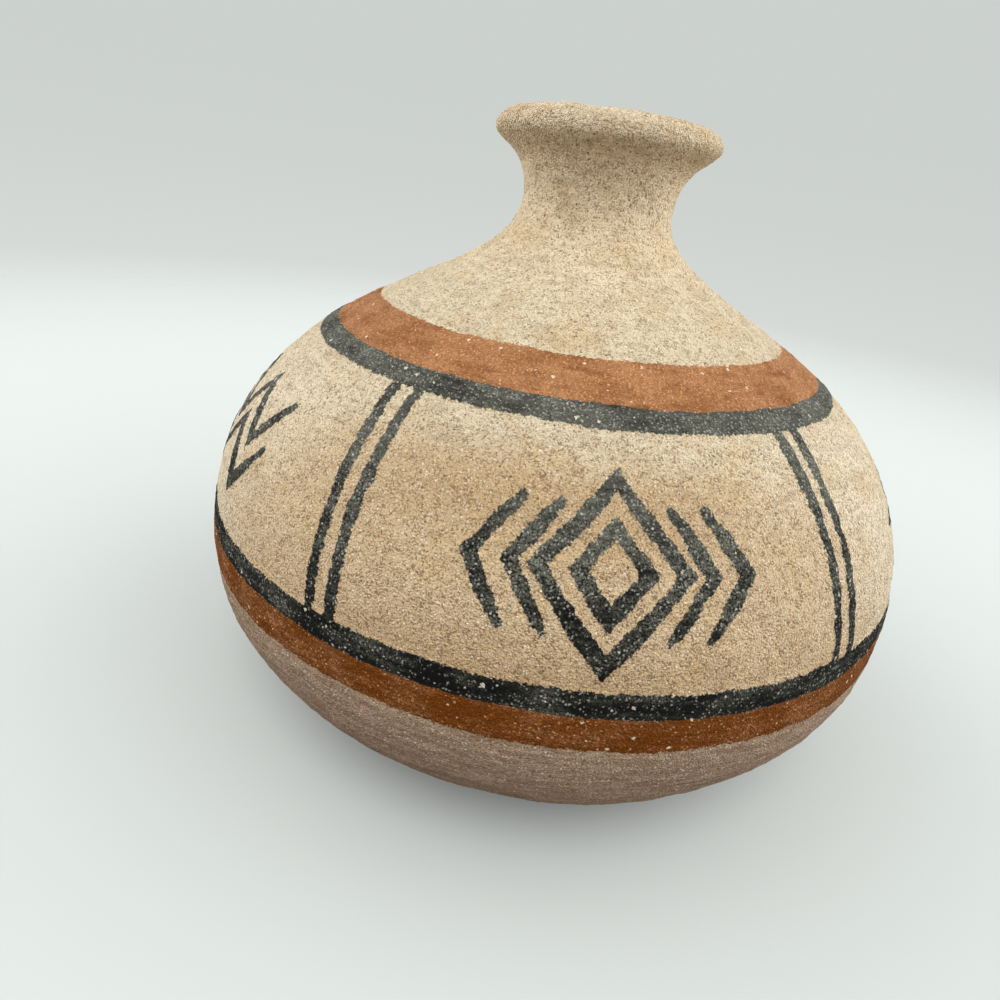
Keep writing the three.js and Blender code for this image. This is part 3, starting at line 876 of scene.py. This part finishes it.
def slip_tree(name, grains, colours, grain_share, shade, evenness):
    """A matt slip, brushed on sandy clay: worn grains of the clay show through it.

    grain_share is how many grains show, shade how dark the hollows between them are, and
    evenness how little the brush's load varies.
    """
    nodes, given, result = new_tree(
        name, "ShaderNodeTree", {"Position": "Vector"}, {"Color": "Color", "Height": "Float"}
    )
    thick, thin, worn_grain_glint, bare = (linear(*colour) for colour in colours)
    place = given["Position"]
    up = nodes.parts(place)["Z"]
    sand = nodes.group(grains, Position=place)
    chance = channels(nodes, sand["Chance"])

    # The brush leaves thin streaks. The bands on the shoulder are painted lighter than those below,
    # with more grain tops showing, which is painted light, and the painted shade in their hollows
    # is fainter.
    streaks = streaked(nodes, place, LOAD_STREAKS)
    load = nodes.math("ADD", nodes.noise(place, LOAD_PATCHES, 2.0), streaks)
    load = nodes.math("MULTIPLY_ADD", load, 1 - evenness, evenness)
    load_and_painted_light = nodes.math("MULTIPLY_ADD", nodes.ramped(up, *SLIP_PAINTED_LIGHTER), 0.36, load)
    tone = mixed(nodes, nodes.ramped(load_and_painted_light, 0.85, 1.55), thick, thin)
    # Painted shade in the hollows between the grains, fainter on the higher bands.
    shading = nodes.ramped(up, *FAINTER, shade, 0.6 * shade)
    dark = portion(nodes, sand["Height"], 0.46, 0.29, shading)
    tone = mixed(nodes, dark, tone, mixed(nodes, 0.5, thick, linear(0, 0, 0)))
    # The tops of worn grains take a pale colour, partly real wear and partly a painted highlight.
    share = nodes.math("MULTIPLY_ADD", load_and_painted_light, 0.5, grain_share - 0.6)
    worn = nodes.math("ADD", chance["Red"], share)
    show = nodes.math("MULTIPLY", sand["Top"], portion(nodes, worn, 0.85, 1.25, 0.85))
    tone = mixed(nodes, show, tone, worn_grain_glint)

    # Bare grains: small ones, which keep some slip, and stones.
    dusty = mixed(nodes, 0.5, worn_grain_glint, bare)
    for size, rarity, rim, core, colour in (
        (0.42 * MM, 0.965, 0.16, -0.04, dusty),
        (0.75 * MM, 0.955, 0.12, -0.02, bare),
    ):
        stone = nodes.grains(place, size)
        rare = channels(nodes, stone["Color"])["Red"]
        is_bare = nodes.math("GREATER_THAN", rare, rarity)
        ragged = nodes.math("MULTIPLY_ADD", sand["Height"], -0.5, stone["Distance"])
        close = portion(nodes, ragged, rim, core, 0.85)
        tone = mixed(nodes, nodes.math("MULTIPLY", is_bare, close), tone, colour)
    nodes.connect(result["Color"], nodes.scaled(tone, sand["Grit"]))
    nodes.connect(result["Height"], nodes.math("MULTIPLY", sand["Height"], 1.1))
    return nodes.tree


def start_material(name, plain_colour):
    """A matt material: (the material, its Nodes, its shader, the place on the piece)."""
    material = bpy.data.materials.new(name)
    material.use_nodes = True
    material.diffuse_color = plain_colour
    nodes = Nodes(material.node_tree)
    shader = material.node_tree.nodes["Principled BSDF"]
    shader.inputs["Roughness"].default_value = ROUGHNESS
    shader.inputs["Specular IOR Level"].default_value = SHINE
    place = nodes.add("ShaderNodeTexCoord").outputs["Object"]
    return material, nodes, shader, place


def surface(nodes, shader, colour, height):
    """Gives the shader its colour and its bumps."""
    nodes.connect(shader.inputs["Base Color"], colour)
    inputs = {"Height": height, "Strength": BUMP_STRENGTH, "Distance": BUMP_DEPTH}
    nodes.connect(shader.inputs["Normal"], nodes.add("ShaderNodeBump", inputs))


def clay_material(clay):
    material, nodes, shader, place = start_material("sandy_clay", PLAIN_CLAY)
    body = nodes.group(clay, Position=place)
    surface(nodes, shader, body["Color"], body["Height"])
    return material


def slip_material(name, plain_colour, slip, clay):
    """Slip with a ragged edge, where it thins out grain by grain on the clay."""
    material, nodes, shader, place = start_material(name, plain_colour)
    under = nodes.group(clay, Position=place)
    over = nodes.group(slip, Position=place)
    edge = nodes.add("ShaderNodeAttribute", attribute_name="edge").outputs["Fac"]
    ragged = nodes.math("SUBTRACT", nodes.noise(place, EDGE_GRAINS, 2.0, 0.6), 0.5)
    edge = nodes.math("MULTIPLY_ADD", ragged, 0.9, edge)
    cover = nodes.ramped(edge, 0.10, -0.04)
    colour = mixed(nodes, cover, under["Color"], over["Color"])
    difference = nodes.math("SUBTRACT", over["Height"], under["Height"])
    height = nodes.math("MULTIPLY_ADD", difference, cover, under["Height"])
    surface(nodes, shader, colour, height)
    return material


# Pieces


def rows_between(low, high):
    """The first row and the number of rows of the lattice between two arcs."""
    first = round(low / ROW)
    return first, round(high / ROW) - first


def folds_for(length, width):
    """How many rows a long strip's map is cut into, so that the map is nearly square."""
    return float(max(1, round(math.sqrt(length / width))))


def round_at(section, arc):
    """The length round the pot at an arc."""
    i = min(range(len(section.arcs)), key=lambda k: abs(section.arcs[k] - arc))
    return 2 * math.pi * section.points[i].x


def make_walls(curve, section, tree, material):
    """The clay pieces, between the seams of the part."""
    seams = [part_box(node)[0].z for node in WALL_NODES[1:]]
    bowl, shoulder, neck, lip = (section.arc_at(height) for height in seams)
    in_bowl, in_shoulder, in_neck, in_lip = (section.arc_at(h, -WALL * MM) for h in seams)
    foot, mouth = section.knot_arcs[FOOT_KNOT], section.arcs[-1]
    slip_seam = section.arc_at(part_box("upper_terracotta_band")[0].z) - CUT_BELOW_SLIP
    in_slip_seam = slip_seam + INNER_CUT_RISE
    for name, low, high, inner_start, inner_end, wall, inner_rows in (
        ("base_slab", 0.0, bowl, foot, 0.0, FLOOR, 5),
        ("lower_bowl", bowl, shoulder, in_shoulder, in_bowl, WALL, 6),
        ("shoulder_panels", shoulder, slip_seam, in_slip_seam, in_shoulder, WALL, 6),
        ("shoulder_top", slip_seam, neck, in_neck, in_slip_seam, WALL, 5),
        ("neck", neck, lip, in_lip, in_neck, WALL, 6),
        ("lip_ring", lip, mouth, in_lip, in_lip, WALL, 1),
    ):
        first, rows = rows_between(low, high)
        piece = grown(
            f"{name}_clay",
            tree,
            Section=curve,
            First_row=first,
            Rows=rows,
            Folds=folds_for(round_at(section, (low + high) / 2), high - low),
            Inner_start=inner_start,
            Inner_end=inner_end,
            Inner_rows=inner_rows,
            Wall=wall * MM,
            Material=material,
        )
        node = "shoulder" if name.startswith("shoulder") else name
        place_piece(piece, node)


# Each piece with the node that it stands for. A replaced node is hidden, and the stroke tree
# can't read a hidden strip, so the nodes are replaced only when all the pieces are made.
stand_ins = []


def place_piece(piece, node):
    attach(piece, "root")
    stand_ins.append((piece, node))


def make_bands(curve, section, tree, materials):
    """The four slip bands. Charcoal overlaps the terracotta next to it."""
    for name, lift, extra_low, extra_high in (
        ("upper_terracotta_band", TERRACOTTA_LIFT, UNDERLAP, 0.0),
        ("upper_charcoal_band", CHARCOAL_BAND_LIFT, 0.0, OVERLAP),
        ("lower_charcoal_band", CHARCOAL_BAND_LIFT, OVERLAP, 0.0),
        ("lower_terracotta_band", TERRACOTTA_LIFT, 0.0, UNDERLAP),
    ):
        slot = "terracotta_slip" if "terracotta" in name else "charcoal_slip"
        bottom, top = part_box(name)
        low = section.arc_at(bottom.z, STRIP_LOW) - extra_low
        high = section.arc_at(top.z, STRIP_HIGH) + extra_high
        first, rows = rows_between(low - PATCH_MARGIN, high + PATCH_MARGIN)
        piece = grown(
            f"{name}_slip",
            tree,
            Section=curve,
            First_row=first,
            Rows=rows,
            First_column=0,
            Columns=COLUMNS,
            Folds=folds_for(round_at(section, low), rows * ROW),
            Lowest_arc=low,
            Highest_arc=high,
            Lift=lift,
            Material=materials[slot],
        )
        place_piece(piece, name)


def make_strokes(curve, section, tree, materials):
    """The divider lines and the brushed motifs, each over its strip of the part."""
    for name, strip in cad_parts.items():
        if name in WALL_NODES or name.endswith("_band"):
            continue
        is_line = name.startswith("divider")
        bottom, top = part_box(name)
        low, high = section.arc_at(bottom.z), section.arc_at(top.z, STRIP_HIGH)
        first, rows = rows_between(low - PATCH_MARGIN, high + PATCH_MARGIN)
        facing = (bottom + top) / 2
        middle = math.atan2(facing.x, -facing.y)
        spread = [
            (math.atan2(v.co.x, -v.co.y) - middle + math.pi) % (2 * math.pi) - math.pi
            for v in strip.data.vertices
        ]
        margin = PATCH_MARGIN / facing.xy.length
        left = round((middle + min(spread) - margin) / COLUMN_TURN)
        right = round((middle + max(spread) + margin) / COLUMN_TURN)
        piece = grown(
            f"{name}_slip",
            tree,
            Section=curve,
            First_row=first,
            Rows=rows,
            First_column=left,
            Columns=right - left,
            Folds=1.0,
            Lowest_arc=low + LINE_INSET if is_line else 0.0,
            Highest_arc=high - LINE_INSET if is_line else section.arcs[-1],
            Lift=CHARCOAL_LINE_LIFT,
            Material=materials["charcoal_slip"],
            Strip=strip,
        )
        place_piece(piece, name)


# Stage, light and camera

BACKDROP_HIGH, BACKDROP_LOW = linear(204, 209, 206), linear(219, 223, 220)
SKY_HIGH = (1.06, 1.08, 1.08, 1)
SKY_LOW = (0.05, 0.045, 0.04, 1)
# How strong the light is from the front, the left, the right and straight above.
FRONT_SHADE = 0.72
LEFT_GLOW, RIGHT_GLOW = 3.2, 3.5
TOP_SHADE = 0.75
# The table as it is seen, and the dim warm light that it gives back.
TABLE_COLOUR = linear(183, 187, 184)
TABLE_BOUNCE = linear(84, 70, 60)
# The table lies just under the foot, so that the two faces don't flicker.
TABLE_REACH, TABLE_LEVEL, TABLE_ROUGHNESS = 0.8, -0.02 * MM, 0.9
FADE_START, FADE_END = 0.16, 0.5
LAMP_PLACE, LAMP_TARGET = Vector((0.04, -0.56, 1.02)), Vector((0, 0, 0.04))
LAMP_SIZE, LAMP_POWER = 0.5, 4.2
# The camera's lens and sensor in millimetres, and where it stands and points.
LENS, SENSOR = 23.4, 36
CAMERA_PLACE = Vector((0, -96.54, 73.23)) * MM
CAMERA_PITCH, CAMERA_TURN = math.radians(64.12), math.radians(4.53)
CAMERA_ROLL = math.radians(7.68)
NEAREST_SEEN = 5 * MM


def make_floor():
    """A pale floor that fades into the backdrop, so that no horizon shows."""
    mesh = bpy.data.meshes.new("floor")
    square = ((-1, -1), (1, -1), (1, 1), (-1, 1))
    corners = [(x * TABLE_REACH, y * TABLE_REACH, TABLE_LEVEL) for x, y in square]
    mesh.from_pydata(corners, [], [(0, 1, 2, 3)])
    floor = bpy.data.objects.new("floor", mesh)
    bpy.context.scene.collection.objects.link(floor)
    material = bpy.data.materials.new("pale_floor")
    material.use_nodes = True
    nodes = Nodes(material.node_tree)
    shader = material.node_tree.nodes["Principled BSDF"]
    shader.inputs["Roughness"].default_value = TABLE_ROUGHNESS
    is_seen = nodes.add("ShaderNodeLightPath").outputs["Is Camera Ray"]
    nodes.connect(shader.inputs["Base Color"], mixed(nodes, is_seen, TABLE_BOUNCE, TABLE_COLOUR))
    place = nodes.add("ShaderNodeTexCoord").outputs["Object"]
    away = nodes.add("ShaderNodeVectorMath", {0: place}, operation="LENGTH").outputs["Value"]
    clear = nodes.add("ShaderNodeBsdfTransparent")
    fade = nodes.ramped(away, FADE_START, FADE_END)
    faded = nodes.add("ShaderNodeMixShader", {0: fade, 2: clear})
    nodes.tree.links.new(shader.outputs[0], faded.inputs[1])
    output = next(n for n in nodes.tree.nodes if n.type == "OUTPUT_MATERIAL")
    nodes.tree.links.new(faded.outputs[0], output.inputs["Surface"])
    mesh.materials.append(material)


def make_world():
    """A pale backdrop for the camera, and soft light that is strongest from above."""
    world = bpy.data.worlds.new("studio")
    world.use_nodes = True
    bpy.context.scene.world = world
    nodes = Nodes(world.node_tree)
    sky = world.node_tree.nodes["Background"]
    direction = nodes.add("ShaderNodeTexCoord").outputs["Generated"]
    toward = nodes.parts(direction)
    high = nodes.ramped(toward["Z"], -0.3, 0.15)
    glow = mixed(nodes, high, SKY_LOW, SKY_HIGH)
    front = nodes.ramped(toward["Y"], -0.3, -0.95, 1.0, FRONT_SHADE)
    left = nodes.ramped(toward["X"], -0.3, -0.9, 1.0, LEFT_GLOW)
    sides = nodes.ramped(toward["X"], 0.3, 0.9, left, RIGHT_GLOW)
    nodes.connect(sky.inputs["Color"], glow)
    top = nodes.ramped(toward["Z"], 0.35, 0.95, 1.0, TOP_SHADE)
    around = nodes.math("MULTIPLY", front, sides)
    nodes.connect(sky.inputs["Strength"], nodes.math("MULTIPLY", around, top))
    backdrop = mixed(nodes, nodes.ramped(toward["Z"], -0.3, 0.1), BACKDROP_LOW, BACKDROP_HIGH)
    seen = nodes.add("ShaderNodeBackground", {"Color": backdrop})
    is_seen = nodes.add("ShaderNodeLightPath").outputs["Is Camera Ray"]
    both = nodes.add("ShaderNodeMixShader", {0: is_seen, 2: seen})
    nodes.tree.links.new(sky.outputs[0], both.inputs[1])
    output = next(n for n in nodes.tree.nodes if n.type == "OUTPUT_WORLD")
    nodes.tree.links.new(both.outputs[0], output.inputs["Surface"])


def make_lamp():
    """A round lamp, high in front of the pot."""
    light = bpy.data.lights.new("lamp", "AREA")
    light.shape = "DISK"
    light.size = LAMP_SIZE
    light.energy = LAMP_POWER
    lamp = bpy.data.objects.new("lamp", light)
    lamp.location = LAMP_PLACE
    lamp.rotation_euler = (LAMP_TARGET - LAMP_PLACE).to_track_quat("-Z", "Y").to_euler()
    bpy.context.scene.collection.objects.link(lamp)


def make_camera():
    """The photograph's view: close above the pot, with the head tilted a little."""
    data = bpy.data.cameras.new("camera")
    data.sensor_width = SENSOR
    data.lens = LENS
    data.clip_start = NEAREST_SEEN
    camera = bpy.data.objects.new("camera", data)
    camera.location = CAMERA_PLACE
    aim = Euler((CAMERA_PITCH, 0, CAMERA_TURN)).to_matrix()
    aim = aim @ Euler((0, 0, CAMERA_ROLL)).to_matrix()
    camera.rotation_euler = aim.to_euler()
    bpy.context.scene.collection.objects.link(camera)
    bpy.context.scene.camera = camera


def main():
    bpy.context.scene.view_settings.view_transform = "Standard"
    knots = section_knots()
    curve = section_curve(knots)
    section = Section(knots)

    place, sand = place_tree(), sand_tree()
    lattice = lattice_tree(place)
    grains = grain_tree()
    clay = clay_tree(grains)
    charcoal = slip_tree(
        "Charcoal slip", grains, CHARCOAL, grain_share=0.36, shade=0.9, evenness=0.2
    )
    terracotta = slip_tree(
        "Terracotta slip", grains, TERRACOTTA, grain_share=0.29, shade=0.75, evenness=0.25
    )
    materials = {
        name: slip_material(name, plain_colour, slip, clay)
        for name, plain_colour, slip in (
            ("charcoal_slip", PLAIN_CHARCOAL, charcoal),
            ("terracotta_slip", PLAIN_TERRACOTTA, terracotta),
        )
    }
    make_walls(curve, section, wall_tree(place, sand, lattice), clay_material(clay))
    make_bands(curve, section, band_tree(sand, lattice), materials)
    make_strokes(curve, section, stroke_tree(place, sand, lattice), materials)
    for piece, node in stand_ins:
        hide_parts(node)
    bpy.data.objects.remove(curve)

    make_floor()
    make_world()
    make_lamp()
    make_camera()


main()
